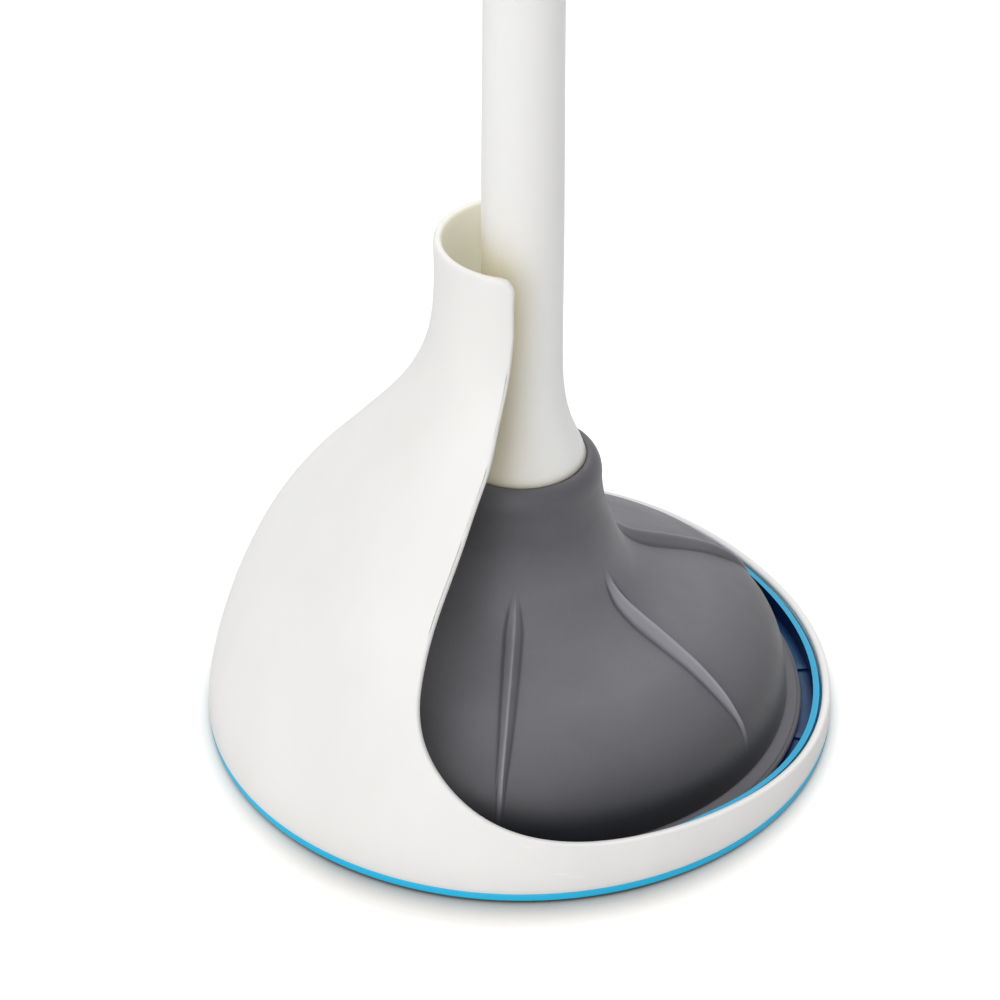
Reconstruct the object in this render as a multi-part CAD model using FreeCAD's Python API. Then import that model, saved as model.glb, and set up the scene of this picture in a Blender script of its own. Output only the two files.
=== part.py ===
import FreeCAD
import Part
import math
import os

# Toilet plunger standing in an open caddy.
# Origin: centre of the caddy's foot on the floor. +Z up. The caddy opens
# towards +X and is symmetric about the XZ plane. All sizes in millimetres.
# Outlines are (radius, height) points in the XZ plane unless noted.

Vector = FreeCAD.Vector

# ------------------------------------------------------------ caddy dimensions
BASE_R = 84.0            # flange of the tray
FLANGE_BOTTOM = 0.6      # the rubber feet hold the flange off the floor
FLANGE_T = 2.2
FLANGE_TOP = FLANGE_BOTTOM + FLANGE_T
FLANGE_FILLET = 0.4
SEAT_GAP = 0.05          # flange to the shell's lower edge

SHELL_T = 2.2
COLLAR_TOP = 143.0       # where the shell's rounded rim starts
RIM_TOP = COLLAR_TOP + 0.5 * SHELL_T
GROOVE_R = 82.15         # groove in the shell that the snap beads sit in
GROOVE_DEPTH = 4.0       # reach of the cutter inwards from the groove's bottom
GROOVE_Z = (4.3, 6.1)
# outside of the shell, bottom to top
SHELL_OUT = [
    (84.15, FLANGE_TOP + SEAT_GAP), (83.75, 8.0), (82.6, 14.3), (81.2, 20.2), (79.4, 26.4),
    (77.0, 33.6), (73.9, 41.2), (70.6, 48.3), (66.2, 56.0), (59.9, 64.7), (52.8, 72.7),
    (44.3, 82.3), (39.0, 88.5), (34.0, 95.0), (29.9, 101.3), (26.7, 107.7), (24.4, 114.0),
    (22.95, 121.0), (22.25, 128.5), (22.1, 136.0), (22.2, COLLAR_TOP)]
# edge of the opening as (x, height), top to bottom
OPENING = [
    (-5.0, 128.0), (-5.6, 121.5), (-7.0, 113.5), (-9.3, 105.0), (-12.3, 95.5), (-15.8, 88.5),
    (-20.5, 80.5), (-25.2, 72.5), (-29.2, 63.5), (-32.2, 54.5), (-33.6, 46.5), (-32.6, 39.0),
    (-28.8, 32.0), (-21.5, 25.0), (-11.5, 20.0), (0.0, 17.2), (14.0, 15.7), (28.0, 14.9),
    (42.0, 13.9), (54.0, 12.6), (66.0, 10.8), (76.0, 9.2), (84.0, 8.5), (92.0, 8.4)]
COLLAR_CORNER_R = 4.0
CUTTER_REACH = 120.0     # the opening's cutter ends this far out in +X, +Y and -Y
CUTTER_TOP = 180.0

WALL_OUT = 80.9          # outer radius of the tray's wall at its foot
WALL_OUT_TOP = 80.25
WALL_IN = WALL_OUT - 1.7
WALL_TAPER_Z = 6.6       # the wall's outside leans inwards above this
WALL_TOP = 13.0          # at the back
WALL_CROWN = 0.3         # rise of the wall's rounded top
WALL_DROP = 1.5          # how far the wall stays under the opening's edge
FINGERS_AT = (80, 120, 160, 200, 240, 280)   # snap fingers in the wall, degrees from +X
FINGER_DEG = 16.0
BEAD_DEG = FINGER_DEG - 4.0
BEAD_R = 81.9            # reach of the snap bead on each finger
BEAD_ROOT_R = WALL_OUT - 0.6
SLOT_W = 0.8             # slot on either side of a finger
DRAIN_RIBS = 16          # low ribs on the floor that carry the cup's lip
DRAIN_RIB_R0 = 62.0      # inner end
DRAIN_RIB_W = 2.0
DRAIN_RIB_H = 0.55

PADS = 4                 # rubber feet
PAD_R = 7.0
PAD_T = 1.4
PAD_CENTRE_R = 68.0
PAD_ANGLE0 = 45.0
PAD_FILLET = 0.4
PAD_GAP = 0.05           # round a pad in its recess
PAD_GAP_TOP = 0.02       # above it

# -------------------------------------------------------- rubber cup dimensions
PLUG_R = 14.85
SCREW_R = 2.45
SKIRT_Z = 79.9           # lower edge of the handle's skirt

CUP_FLOOR = 3.4          # underside of the lip
LIP_R = 76.0
LIP_IN = 67.6            # lip's inner radius, above its chamfer
LIP_CHAMFER = 1.2
CUP_WALL = 3.6
NECK_R = 21.0
NECK_TOP = 80.3
SHOULDER_W, SHOULDER_H = 3.7, 5.5   # rounded shoulder on the neck
SKIRT_SEAT_R = 17.1      # recess round the socket's mouth that takes the skirt
SKIRT_SEAT_Z = SKIRT_Z - 0.1
SOCKET_R = PLUG_R + 0.1
SOCKET_FLOOR = 57.0
WEB_T = 4.2              # rubber web under the plug, clamped by the washer
WEB_BOTTOM = SOCKET_FLOOR - WEB_T
WEB_R = 14.5             # flat underside of the web
WEB_HOLE_R = SCREW_R + 0.4
# outside of the bell, lip to neck
CUP_OUT = [
    (72.0, 6.9), (71.95, 8.6), (71.7, 10.8), (71.3, 14.2), (70.5, 18.0), (69.1, 21.2),
    (66.9, 24.0), (64.2, 26.4), (60.9, 28.7), (57.0, 31.2), (52.5, 33.7), (47.4, 36.0),
    (42.2, 38.2), (37.4, 40.4), (33.2, 43.1), (30.0, 46.2), (27.4, 50.2), (25.4, 55.0),
    (23.7, 60.0), (22.3, 64.5), (21.4, 69.0), (NECK_R, 73.0)]
RIBS = 6
RIB_ANGLE0 = -100.1      # first rib, degrees about +Z from +X
RIB_W = 3.2
RIB_STEPS = 24
RIB_ROOT = (1.6, 0.6)    # how far the rib's root lies inside the bell and below, (radius, height)
# (height on the bell, height of the crest above the bell measured square to it)
RIB_CREST = [
    (53.5, 0.0), (51.5, 0.2), (49.5, 0.6), (45.2, 1.9), (41.5, 3.0), (38.9, 3.3), (37.1, 3.1),
    (34.9, 2.8), (32.4, 2.6), (29.6, 2.4), (27.3, 1.9), (25.1, 1.3), (23.3, 0.9), (21.4, 0.6),
    (18.0, 0.3), (15.0, 0.0)]

# ------------------------------------------------------------ handle dimensions
# outside of the shaft, skirt to the straight part under the grip
SHAFT_OUT = [
    (16.95, SKIRT_Z), (14.97, 85.2), (13.55, 88.6), (12.5, 91.9), (11.75, 95.0), (11.2, 98.2),
    (10.82, 101.4), (10.58, 104.6), (10.46, 108.0), (10.40, 113.0), (10.35, 143.0),
    (10.1, 180.0), (9.9, 208.0), (9.8, 240.0), (9.75, 330.0)]
SHAFT_R = SHAFT_OUT[-1][0]          # at the grip
SHAFT_TOP = 484.0
SHAFT_BORE_R = 7.35
SKIRT_IN = 15.6
STEM_R = 8.0             # upper part of the socket plug
STEM_TOP = 110.0
STEM_BORE_R = STEM_R + 0.05

BARBS = 2                # barbs below the plug's plain upper part
BARB_PITCH = 7.2
BARB_RAMP = 3.0          # height of the cone up to full radius
BARB_LAND = 1.2          # height at full radius
BARB_DEPTH = 1.4
SCREW_BORE_R = SCREW_R + 0.05

WASHER_R = 13.0
WASHER_TOP = WEB_BOTTOM - 0.05
WASHER_BOTTOM = WASHER_TOP - 1.5
WASHER_HOLE_R = SCREW_R + 0.3
WASHER_FILLET = 0.35
HEAD_TOP = WASHER_BOTTOM - 0.02     # screw head
HEAD_BOTTOM = HEAD_TOP - 3.4
HEAD_R = 4.8
HEAD_FLAT_R = 2.6
CROSS_W = 1.1            # cross recess in the head
CROSS_DEPTH = 1.7

GRIP_Z0, GRIP_Z1 = 352.0, 478.0
GRIP_BORE_R = SHAFT_R + 0.03
KEYWAY_W = 4.0           # slots in the shaft that hold the grip against turning
KEYWAY_DEPTH = 0.8
KEYWAY_INSET = 12.0      # from either end of the grip
KEY_W = 3.8
KEY_DEPTH = 0.7
KEY_INSET = 12.3
GRIP_OUT = [
    (11.4, GRIP_Z0 + 0.9), (12.0, GRIP_Z0 + 8), (12.9, GRIP_Z0 + 28), (13.7, GRIP_Z0 + 55),
    (13.9, GRIP_Z0 + 72), (13.5, GRIP_Z0 + 96), (13.0, GRIP_Z0 + 112), (12.9, GRIP_Z1 - 0.9)]
RINGS = 9                # shallow finger rings round the grip
RING_Z0 = GRIP_Z0 + 22
RING_PITCH = 10.0
RING_TUBE_R = 1.7
RING_CENTRE_OUT = 1.0    # ring's tube centre outside the grip's surface

CAP_BOTTOM = GRIP_Z1 + 0.15
CAP_TOP = 500.0
CAP_IN = SHAFT_R + 0.1
CAP_SEAT_Z = SHAFT_TOP + 0.1
CAP_SPIGOT_R = SHAFT_BORE_R - 0.05  # spigot inside the shaft
CAP_SPIGOT_BOTTOM = SHAFT_TOP - 16.0
CAP_HOLLOW_R = 5.0
# side of the cap, up to the crown
CAP_DOME = [
    (12.7, CAP_BOTTOM + 2.6), (12.35, CAP_BOTTOM + 8.0), (10.9, CAP_BOTTOM + 14.0),
    (8.0, CAP_BOTTOM + 18.6), (4.0, CAP_BOTTOM + 21.2)]


# --------------------------------------------------------------------- helpers
def spline(points):
    """Smooth curve in the XZ plane through (x, z) points."""
    curve = Part.BSplineCurve()
    curve.interpolate([Vector(x, 0, z) for x, z in points])
    return curve


def lines(*points):
    """Straight edges joining (x, z) points in turn."""
    return [Part.LineSegment(Vector(a[0], 0, a[1]), Vector(b[0], 0, b[1])).toShape()
            for a, b in zip(points, points[1:])]


def arc(start, middle, end):
    return Part.Arc(*[Vector(x, 0, z) for x, z in (start, middle, end)]).toShape()


def offset_points(curve, distance, count):
    """Points beside a profile curve, to its left: inwards for a rising outline."""
    first, last = curve.FirstParameter, curve.LastParameter
    points = []
    for i in range(count):
        t = first + (last - first) * i / (count - 1.0)
        point = curve.value(t)
        along = curve.tangent(t)[0]
        points.append((point.x - along.z * distance, point.z + along.x * distance))
    return points


def radius_at(curve, z):
    """Radius of a rising profile curve at height z, by bisection."""
    low, high = curve.FirstParameter, curve.LastParameter
    for _ in range(60):
        middle = 0.5 * (low + high)
        if curve.value(middle).z < z:
            low = middle
        else:
            high = middle
    return curve.value(0.5 * (low + high)).x


def face_of(edges):
    return Part.Face(Part.Wire(Part.__sortEdges__(edges)))


def revolve(edges, degrees=360):
    """Solid swept by a closed profile about Z, starting in the XZ plane."""
    solid = face_of(edges).revolve(Vector(0, 0, 0), Vector(0, 0, 1), degrees)
    if solid.Volume < 0:
        solid.reverse()
    return solid


def ring(r_in, r_out, z_min, z_max):
    height = z_max - z_min
    disc = Part.makeCylinder(r_out, height, Vector(0, 0, z_min))
    return disc.cut(Part.makeCylinder(r_in, height + 2, Vector(0, 0, z_min - 1)))


def bar(x_min, x_max, width, z_min, z_max):
    """Box centred on the XZ plane."""
    return Part.makeBox(x_max - x_min, width, z_max - z_min, Vector(x_min, -0.5 * width, z_min))


def turned(shape, degrees):
    """Copy of a shape turned about Z."""
    copy = shape.copy()
    copy.rotate(Vector(0, 0, 0), Vector(0, 0, 1), degrees)
    return copy


def circles(shape):
    return [e for e in shape.Edges if isinstance(e.Curve, Part.Circle)]


def save(name, shape):
    # booleans on spline surfaces can leave small tolerance faults
    if not shape.isValid():
        shape = shape.copy()
        shape.fix(1e-4, 1e-4, 1e-3)
    solids = shape.Solids
    result = solids[0] if len(solids) == 1 else Part.makeCompound(solids)
    result.exportStep("parts/" + name + ".step")


# ----------------------------------------------------------------------- caddy
def opening_cutter():
    """Everything beyond the opening's edge, through both side walls and the collar's top."""
    top_x, top_z = OPENING[0]
    end_z = OPENING[-1][1]
    radius = COLLAR_CORNER_R
    corner_x, corner_z = top_x - radius, RIM_TOP - radius   # centre of the collar's corner
    diagonal = radius * math.sqrt(0.5)
    face = face_of([
        spline(OPENING).toShape(),
        *lines(OPENING[-1], (CUTTER_REACH, end_z), (CUTTER_REACH, CUTTER_TOP),
               (corner_x, CUTTER_TOP), (corner_x, RIM_TOP)),
        arc((corner_x, RIM_TOP), (corner_x + diagonal, corner_z + diagonal), (top_x, corner_z)),
        *lines((top_x, corner_z), (top_x, top_z))])
    cutter = face.extrude(Vector(0, 2 * CUTTER_REACH, 0))
    cutter.translate(Vector(0, -CUTTER_REACH, 0))
    return cutter


def caddy_shell():
    outer = spline(SHELL_OUT)
    foot_r, foot_z = SHELL_OUT[0]
    rim_out = SHELL_OUT[-1][0]
    rim_in = rim_out - SHELL_T
    foot_in = (foot_r - SHELL_T, foot_z)
    # offset points close to the ends give way to level end points
    between = [p for p in offset_points(outer, SHELL_T, 41)
               if foot_z + 0.8 < p[1] < COLLAR_TOP - 1.2]
    shell = revolve([
        outer.toShape(),
        arc((rim_out, COLLAR_TOP), (0.5 * (rim_out + rim_in), RIM_TOP), (rim_in, COLLAR_TOP)),
        spline([foot_in] + between + [(rim_in, COLLAR_TOP)]).toShape(),
        *lines(foot_in, (foot_r, foot_z))])
    shell = shell.cut(ring(GROOVE_R - GROOVE_DEPTH, GROOVE_R, *GROOVE_Z))
    return shell.cut(opening_cutter())


def tray_wall():
    foot_z = FLANGE_TOP - 0.5       # sunk into the flange
    edge_z = WALL_TOP - WALL_CROWN
    wall = revolve([
        *lines((WALL_IN, foot_z), (WALL_OUT, foot_z), (WALL_OUT, WALL_TAPER_Z),
               (WALL_OUT_TOP, edge_z)),
        arc((WALL_OUT_TOP, edge_z), (0.5 * (WALL_OUT_TOP + WALL_IN), WALL_TOP),
            (WALL_IN, edge_z)),
        *lines((WALL_IN, edge_z), (WALL_IN, foot_z))])
    # the wall's top follows the opening's edge
    cutter = opening_cutter()
    cutter.translate(Vector(0, 0, -WALL_DROP))
    return wall.cut(cutter)


def pad_disc(index, radius, height, z):
    """Upright cylinder at the place of one rubber foot."""
    angle = math.radians(PAD_ANGLE0 + index * 360.0 / PADS)
    centre = Vector(PAD_CENTRE_R * math.cos(angle), PAD_CENTRE_R * math.sin(angle), z)
    return Part.makeCylinder(radius, height, centre)


def base_tray():
    plate = Part.makeCylinder(BASE_R, FLANGE_T, Vector(0, 0, FLANGE_BOTTOM))
    plate = plate.makeFillet(FLANGE_FILLET, circles(plate))
    tray = plate.fuse(tray_wall())

    slot = bar(WALL_IN - 1.0, WALL_OUT + 1.0, SLOT_W, FLANGE_TOP + 0.2, WALL_TOP + 1)
    bead = revolve(lines(
        (BEAD_ROOT_R, 4.6), (WALL_OUT, 4.6), (BEAD_R, 5.5), (BEAD_R, 5.7),
        (WALL_OUT, 5.9), (BEAD_ROOT_R, 5.9), (BEAD_ROOT_R, 4.6)), BEAD_DEG)
    for middle in FINGERS_AT:
        for side in (-1, 1):
            tray = tray.cut(turned(slot, middle + side * 0.5 * FINGER_DEG))
        tray = tray.fuse(turned(bead, middle - 0.5 * BEAD_DEG))

    rib = bar(DRAIN_RIB_R0, WALL_IN + 0.2, DRAIN_RIB_W, FLANGE_TOP - 0.3,
              FLANGE_TOP + DRAIN_RIB_H)
    for i in range(DRAIN_RIBS):
        tray = tray.fuse(turned(rib, i * 360.0 / DRAIN_RIBS))

    # recesses for the feet, cut clear through the underside
    recess_r = PAD_R + PAD_GAP
    recess_h = PAD_T - FLANGE_BOTTOM + PAD_GAP_TOP
    for i in range(PADS):
        recess = pad_disc(i, recess_r, recess_h, FLANGE_BOTTOM)
        tray = tray.cut(recess.fuse(pad_disc(i, recess_r, 1.0, FLANGE_BOTTOM - 1.0)))
    return tray.removeSplitter()


def foot_pads():
    pads = []
    for i in range(PADS):
        pad = pad_disc(i, PAD_R, PAD_T, 0)
        floor_edges = [e for e in circles(pad) if e.BoundBox.ZMax < 0.1]
        pads.append(pad.makeFillet(PAD_FILLET, floor_edges))
    return Part.makeCompound(pads)


# ------------------------------------------------------------------ rubber cup
def crest_height(z):
    """Height of a rib above the bell, linear between the stations of RIB_CREST."""
    for (z_up, h_up), (z_down, h_down) in zip(RIB_CREST, RIB_CREST[1:]):
        if z_down <= z <= z_up:
            return h_up + (h_down - h_up) * (z_up - z) / (z_up - z_down)


def cup_rib(bell):
    """One raised rib that runs down the bell and dies out at both ends."""
    top, bottom = RIB_CREST[0][0], RIB_CREST[-1][0]
    crest, root = [], []
    for i in range(RIB_STEPS + 1):
        z = top + (bottom - top) * i / RIB_STEPS
        radius = radius_at(bell, z)
        # slope of the bell over a short step, to measure square to it
        rise = 0.8
        run = radius_at(bell, z + 0.5 * rise) - radius_at(bell, z - 0.5 * rise)
        length = math.hypot(run, rise)
        height = crest_height(z)
        crest.append((radius + height * rise / length, z - height * run / length))
        root.append((radius - RIB_ROOT[0], z - RIB_ROOT[1]))
    face = face_of([
        spline(crest).toShape(), *lines(crest[-1], root[-1]),
        spline(root[::-1]).toShape(), *lines(root[0], crest[0])])
    rib = face.extrude(Vector(0, RIB_W, 0))
    rib.translate(Vector(0, -0.5 * RIB_W, 0))
    return rib


def rubber_cup():
    bell = spline(CUP_OUT)
    lip_in = (LIP_IN, CUP_FLOOR + LIP_CHAMFER)
    inside = [p for p in offset_points(bell, CUP_WALL, 49)
              if 9.0 < p[1] < WEB_BOTTOM - 3.0 and p[0] > 18.0]
    inside = [lip_in] + inside + [(WEB_R + 2.0, WEB_BOTTOM - 0.6), (WEB_R, WEB_BOTTOM)]
    shoulder = []
    for i in range(7):
        angle = i * math.pi / 12
        shoulder.append((NECK_R - SHOULDER_W * (1 - math.cos(angle)),
                         NECK_TOP - SHOULDER_H * (1 - math.sin(angle))))
    lip_top = (LIP_R - 0.8, CUP_FLOOR + 2.0)
    cup = revolve([
        *lines(lip_in, (LIP_IN + LIP_CHAMFER, CUP_FLOOR), (LIP_R - 1.0, CUP_FLOOR)),
        arc((LIP_R - 1.0, CUP_FLOOR), (LIP_R, CUP_FLOOR + 1.0), lip_top),
        *lines(lip_top, CUP_OUT[0]),
        bell.toShape(),
        *lines(CUP_OUT[-1], (NECK_R, NECK_TOP - SHOULDER_H)),
        spline(shoulder).toShape(),
        *lines((NECK_R - SHOULDER_W, NECK_TOP), (SKIRT_SEAT_R, NECK_TOP - 0.2),
               (SKIRT_SEAT_R, SKIRT_SEAT_Z), (SOCKET_R, SKIRT_SEAT_Z),
               (SOCKET_R, SOCKET_FLOOR), (WEB_HOLE_R, SOCKET_FLOOR),
               (WEB_HOLE_R, WEB_BOTTOM), (WEB_R, WEB_BOTTOM)),
        spline(inside).toShape()])
    rib = cup_rib(bell)
    for i in range(RIBS):
        cup = cup.fuse(turned(rib, RIB_ANGLE0 + i * 360.0 / RIBS))
    return cup


# ---------------------------------------------------------------------- handle
def handle_shaft():
    shaft = revolve([
        *lines((SKIRT_IN, SKIRT_Z), (16.6, SKIRT_Z), SHAFT_OUT[0]),
        spline(SHAFT_OUT).toShape(),
        *lines(SHAFT_OUT[-1], (SHAFT_R, SHAFT_TOP), (SHAFT_BORE_R, SHAFT_TOP),
               (SHAFT_BORE_R, STEM_TOP + 2.0), (STEM_BORE_R, STEM_TOP), (STEM_BORE_R, 96.0),
               (SKIRT_IN, 81.6), (SKIRT_IN, SKIRT_Z))])
    keyway = bar(SHAFT_R - KEYWAY_DEPTH, SHAFT_R + 2, KEYWAY_W,
                 GRIP_Z0 + KEYWAY_INSET, GRIP_Z1 - KEYWAY_INSET)
    return shaft.cut(keyway).cut(turned(keyway, 180))


def socket_plug():
    bottom = SOCKET_FLOOR + 0.1
    groove_r = PLUG_R - BARB_DEPTH
    points = [(SCREW_BORE_R, bottom), (PLUG_R - 1.6, bottom)]
    for i in range(BARBS):
        land = SOCKET_FLOOR + BARB_RAMP + i * BARB_PITCH
        points += [(PLUG_R, land), (PLUG_R, land + BARB_LAND), (groove_r, land + BARB_LAND),
                   (groove_r, land + BARB_PITCH - BARB_RAMP)]
    points += [
        (PLUG_R, SOCKET_FLOOR + BARB_RAMP + BARBS * BARB_PITCH), (PLUG_R, 81.4), (13.4, 84.2),
        (STEM_R, 94.6), (STEM_R, STEM_TOP - 1.0), (STEM_R - 1.0, STEM_TOP),
        (SCREW_BORE_R, STEM_TOP), (SCREW_BORE_R, bottom)]
    return revolve(lines(*points))


def cup_washer():
    washer = ring(WASHER_HOLE_R, WASHER_R, WASHER_BOTTOM, WASHER_TOP)
    rims = [e for e in circles(washer) if abs(e.Curve.Radius - WASHER_R) < 0.01]
    return washer.makeFillet(WASHER_FILLET, rims)


def cup_screw():
    head_side = (HEAD_R, HEAD_TOP - 0.6)
    screw = revolve([
        *lines((0, HEAD_BOTTOM), (HEAD_FLAT_R, HEAD_BOTTOM)),
        arc((HEAD_FLAT_R, HEAD_BOTTOM), (4.3, HEAD_BOTTOM + 1.1), head_side),
        *lines(head_side, (HEAD_R, HEAD_TOP), (SCREW_R, HEAD_TOP), (SCREW_R, 84.0),
               (0, 88.0), (0, HEAD_BOTTOM))])
    slot = bar(-HEAD_FLAT_R, HEAD_FLAT_R, CROSS_W, HEAD_BOTTOM - 1, HEAD_BOTTOM + CROSS_DEPTH)
    return screw.cut(slot).cut(turned(slot, 90))


def grip_sleeve():
    side = spline(GRIP_OUT)
    grip = revolve([
        *lines((GRIP_BORE_R, GRIP_Z0), (10.6, GRIP_Z0)),
        arc((10.6, GRIP_Z0), (11.15, GRIP_Z0 + 0.3), GRIP_OUT[0]),
        side.toShape(),
        arc(GRIP_OUT[-1], (12.65, GRIP_Z1 - 0.25), (12.0, GRIP_Z1)),
        *lines((12.0, GRIP_Z1), (GRIP_BORE_R, GRIP_Z1), (GRIP_BORE_R, GRIP_Z0))])
    for i in range(RINGS):
        z = RING_Z0 + i * RING_PITCH
        grip = grip.cut(Part.makeTorus(radius_at(side, z) + RING_CENTRE_OUT, RING_TUBE_R,
                                       Vector(0, 0, z), Vector(0, 0, 1)))
    # keys that sit in the shaft's slots
    key = bar(SHAFT_R - KEY_DEPTH, SHAFT_R + 0.8, KEY_W, GRIP_Z0 + KEY_INSET,
              GRIP_Z1 - KEY_INSET)
    return grip.fuse(key).fuse(turned(key, 180))


def end_cap():
    return revolve([
        *lines((CAP_IN, CAP_BOTTOM), (12.2, CAP_BOTTOM)),
        arc((12.2, CAP_BOTTOM), (12.62, CAP_BOTTOM + 0.5), CAP_DOME[0]),
        spline(CAP_DOME).toShape(),
        spline([CAP_DOME[-1], (2.0, CAP_TOP - 0.12), (0.0, CAP_TOP)]).toShape(),
        *lines((0, CAP_TOP), (0, CAP_TOP - 2.8), (CAP_HOLLOW_R, SHAFT_TOP + 8.5),
               (CAP_HOLLOW_R, CAP_SPIGOT_BOTTOM), (CAP_SPIGOT_R - 0.4, CAP_SPIGOT_BOTTOM),
               (CAP_SPIGOT_R, CAP_SPIGOT_BOTTOM + 2.0), (CAP_SPIGOT_R, CAP_SEAT_Z),
               (CAP_IN, CAP_SEAT_Z), (CAP_IN, CAP_BOTTOM))])


os.makedirs("parts", exist_ok=True)
for build in (caddy_shell, base_tray, foot_pads, rubber_cup, handle_shaft, socket_plug,
              cup_washer, cup_screw, grip_sleeve, end_cap):
    save(build.__name__, build())
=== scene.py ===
"""A ribbed rubber cup on a long upright handle, standing in a white caddy with a blue tray.

The common axis is +Z and the floor is z = 0. The caddy is open towards +X and the camera
looks from the -Y side. Shapes are in millimetres, shader distances in metres.
"""
import bpy
import math
import numpy as np
from mathutils import Matrix, Vector


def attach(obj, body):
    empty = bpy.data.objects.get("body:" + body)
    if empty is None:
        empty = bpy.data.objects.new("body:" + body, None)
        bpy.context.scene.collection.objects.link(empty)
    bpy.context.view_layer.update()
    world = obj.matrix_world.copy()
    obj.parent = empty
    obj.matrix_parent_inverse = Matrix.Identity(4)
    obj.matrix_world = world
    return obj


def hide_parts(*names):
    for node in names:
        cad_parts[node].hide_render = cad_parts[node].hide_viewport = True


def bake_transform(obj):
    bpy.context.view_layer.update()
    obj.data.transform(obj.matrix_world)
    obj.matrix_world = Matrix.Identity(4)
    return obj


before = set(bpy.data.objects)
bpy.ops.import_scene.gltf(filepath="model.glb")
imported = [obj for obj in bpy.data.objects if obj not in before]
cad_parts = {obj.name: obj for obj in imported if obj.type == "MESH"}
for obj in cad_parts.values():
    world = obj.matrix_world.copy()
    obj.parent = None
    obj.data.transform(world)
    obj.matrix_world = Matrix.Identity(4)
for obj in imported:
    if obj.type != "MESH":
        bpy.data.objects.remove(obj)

MM = 0.001
SCENE = bpy.context.scene


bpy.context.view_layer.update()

# ---------------------------------------------------------------- caddy shell, mm
SHELL_T = 2.2
COLLAR_TOP = 143.0
# outer profile, foot to collar: (radius, z)
SHELL_OUT = [
    (84.15, 2.85), (83.75, 8.0), (82.6, 14.3), (81.2, 20.2), (79.4, 26.4), (77.0, 33.6),
    (73.9, 41.2), (70.6, 48.3), (66.2, 56.0), (59.9, 64.7), (52.8, 72.7), (44.3, 82.3),
    (39.0, 88.5), (34.0, 95.0), (29.9, 101.3), (26.7, 107.7), (24.4, 114.0), (22.95, 121.0),
    (22.25, 128.5), (22.1, 136.0), (22.2, 143.0)]
# edge of the opening seen along Y, collar to rim: (x, z)
OPENING = [
    (-5.0, 128.0), (-5.6, 121.5), (-7.0, 113.5), (-9.3, 105.0), (-12.3, 95.5), (-15.8, 88.5),
    (-19.9, 80.5), (-24.3, 72.5), (-29.0, 63.5), (-32.2, 54.5), (-33.6, 46.5), (-32.6, 39.0),
    (-28.8, 32.0), (-21.5, 25.0), (-11.5, 20.0), (0.0, 17.2), (14.0, 15.7), (28.0, 14.9),
    (42.0, 13.9), (54.0, 12.6), (66.0, 10.8), (76.0, 9.2), (84.0, 8.5), (92.0, 8.4)]
COLLAR_CORNER_R = 4.0
EDGE_BULGE = 0.75            # how far the rounded free edge stands out
EDGE_POWER = 2.6             # superellipse exponent of that edge
EDGE_STEPS = 7
GROOVE_R, GROOVE_Z0, GROOVE_Z1 = 82.15, 4.3, 6.1
FOOT_ROWS = [SHELL_OUT[0][1], GROOVE_Z0 - 0.1, GROOVE_Z0 + 0.02,
             GROOVE_Z1 - 0.02, GROOVE_Z1 + 0.1, 6.9]
FOOT_INNER_R = 82.0
FOOT_CORNER = [(0.35, 0.0), (0.1, 0.1), (0.0, 0.35)]    # (step into the wall, lift)
HALF_COLUMNS = 190           # mesh columns from +X round to -X
BELL_ROWS = 64
# where columns stand on the foot, so that none crosses the opening:
# (share of the free edge's length, degrees from +X)
FOOT_ANGLES = [(0, 0), (0.317, 62), (0.476, 93), (0.529, 104.5), (0.582, 115.5), (0.608, 120.5),
               (0.635, 124), (0.688, 131), (0.794, 147), (0.9, 163), (1, 180)]

# ---------------------------------------------------------------- rubber cup, mm
CUP_FLOOR = 3.4
CUP_WALL = 3.6
LIP_R, LIP_EDGE_R = 76.0, 1.0
NECK_R, NECK_TOP = 21.0, 80.3
SHOULDER_W, SHOULDER_H = 3.7, 5.5
SOCKET_R, SOCKET_FLOOR, WEB_T = 14.95, 57.0, 4.2
SEAT_R = 17.12               # recess above the socket, round the shaft's foot
HOLE_R = 2.85
SHAFT_FOOT_Z = 79.9
# start of the lip's underside: (radius, z)
LIP_START = [(67.75, CUP_FLOOR + 0.5), (68.2, CUP_FLOOR + 0.12), (68.8, CUP_FLOOR)]
# hollow curve from the lip to the bell: (radius, z)
LIP_HOLLOW = [(75.0, 5.45), (74.6, 5.6), (74.1, 5.82), (73.5, 6.08), (72.9, 6.32),
              (72.3, 6.56), (71.98, 6.74)]
# outer bell, foot to neck: (radius, z)
CUP_OUT = [
    (72.0, 6.9), (71.95, 8.6), (71.7, 10.8), (71.3, 14.2), (70.5, 18.0), (69.1, 21.2),
    (66.9, 24.0), (64.2, 26.4), (60.9, 28.7), (57.0, 31.2), (52.5, 33.7), (47.4, 36.0),
    (42.2, 38.2), (37.4, 40.4), (33.2, 43.1), (30.0, 46.2), (27.4, 50.2), (25.4, 55.0),
    (23.7, 60.0), (22.3, 64.5), (21.4, 69.0), (21.0, 73.0)]
RIBS, RIB_ANGLE0 = 6, -100.1          # count, azimuth of the first in degrees
RIB_PITCH = 360.0 / RIBS
RIB_ZONE = 11.0                       # degrees each side of a rib with close columns
# flanks turned this way get the most painted light
PAINTED_LIGHT_AZIMUTH = -167.5                 # rib flanks turned this way are the palest, degrees
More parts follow.
